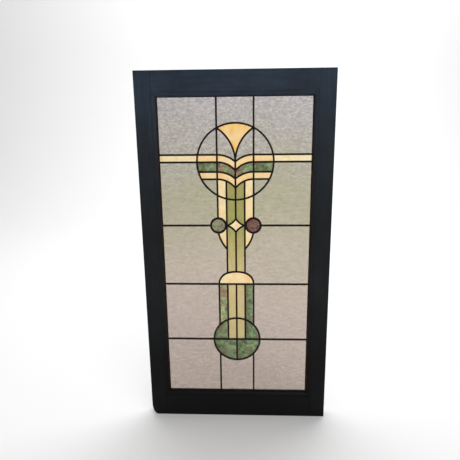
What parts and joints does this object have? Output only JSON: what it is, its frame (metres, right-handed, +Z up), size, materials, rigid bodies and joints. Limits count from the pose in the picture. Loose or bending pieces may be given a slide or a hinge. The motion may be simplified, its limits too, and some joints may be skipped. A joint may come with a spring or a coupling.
{
  "type": "stained glass window",
  "caption": "Tall leaded glass window in a dark painted wooden sash, with stylised torch drawing in amber, green and clear textured glass.",
  "frame": {"origin": "middle of the underside of the bottom rail, where the sash stands in its opening", "axes": "+Z up the window, +Y from the moulded front to the glazed back, +X to the right seen from the front"},
  "size_m": [0.61, 0.035, 1.18],
  "materials": {
    "frame_paint": "near-black oil paint on wood, satin, rubbed at the arrises",
    "bead_paint": "dark brown paint on wood, satin",
    "lead": "lead came with dark brown patina, dull",
    "clear_glass": "clear glass with a fine granular texture",
    "amber_glass": "amber and cream streaky opalescent glass, smooth",
    "olive_glass": "olive green glass shading to tan, smooth",
    "straw_glass": "straw-coloured glass, smooth",
    "mottled_glass": "mottled green and brown streaky glass, smooth",
    "plum_glass": "plum-coloured mottled glass, smooth"
  },
  "bodies": {
    "root": {"amber_band_bend_left": "amber_glass", "amber_band_bend_right": "amber_glass", "amber_band_left": "amber_glass", "amber_band_right": "amber_glass", "amber_bar_bend_left": "amber_glass", "amber_bar_bend_right": "amber_glass", "amber_bar_inner_left": "amber_glass", "amber_bar_inner_right": "amber_glass", "amber_bar_outer_left": "amber_glass", "amber_bar_outer_right": "amber_glass", "amber_column_left": "amber_glass", "amber_column_right": "amber_glass", "amber_diamond": "amber_glass", "amber_dome": "amber_glass", "amber_fan": "amber_glass", "amber_tail_left": "amber_glass", "amber_tail_right": "amber_glass", "bead_bottom": "bead_paint", "bead_left": "bead_paint", "bead_right": "bead_paint", "bead_top": "bead_paint", "bottom_rail": "frame_paint", "clear_bottom_corner_left": "clear_glass", "clear_bottom_corner_right": "clear_glass", "clear_bottom_middle": "clear_glass", "clear_circle_hip_left": "clear_glass", "clear_circle_hip_right": "clear_glass", "clear_circle_shoulder_left": "clear_glass", "clear_circle_shoulder_right": "clear_glass", "clear_fan_side_left": "clear_glass", "clear_fan_side_right": "clear_glass", "clear_lower_middle_left": "clear_glass", "clear_lower_middle_right": "clear_glass", "clear_middle_left": "clear_glass", "clear_middle_right": "clear_glass", "clear_top_corner_left": "clear_glass", "clear_top_corner_right": "clear_glass", "clear_top_middle": "clear_glass", "clear_upper_middle_left": "clear_glass", "clear_upper_middle_right": "clear_glass", "green_band_bend_left": "mottled_glass", "green_band_bend_right": "mottled_glass", "green_band_left": "mottled_glass", "green_band_right": "mottled_glass", "green_foot_quarter_left": "mottled_glass", "green_foot_quarter_right": "mottled_glass", "green_shoulder_strip_left": "mottled_glass", "green_shoulder_strip_right": "mottled_glass", "lead_came": "lead", "left_stile": "frame_paint", "olive_strip_lower_left": "olive_glass", "olive_strip_lower_right": "olive_glass", "olive_strip_upper_left": "olive_glass", "olive_strip_upper_right": "olive_glass", "right_stile": "frame_paint", "roundel_left": "mottled_glass", "roundel_right": "plum_glass", "straw_strip_left": "straw_glass", "straw_strip_right": "straw_glass", "top_rail": "frame_paint"}
  },
  "joints": []
}
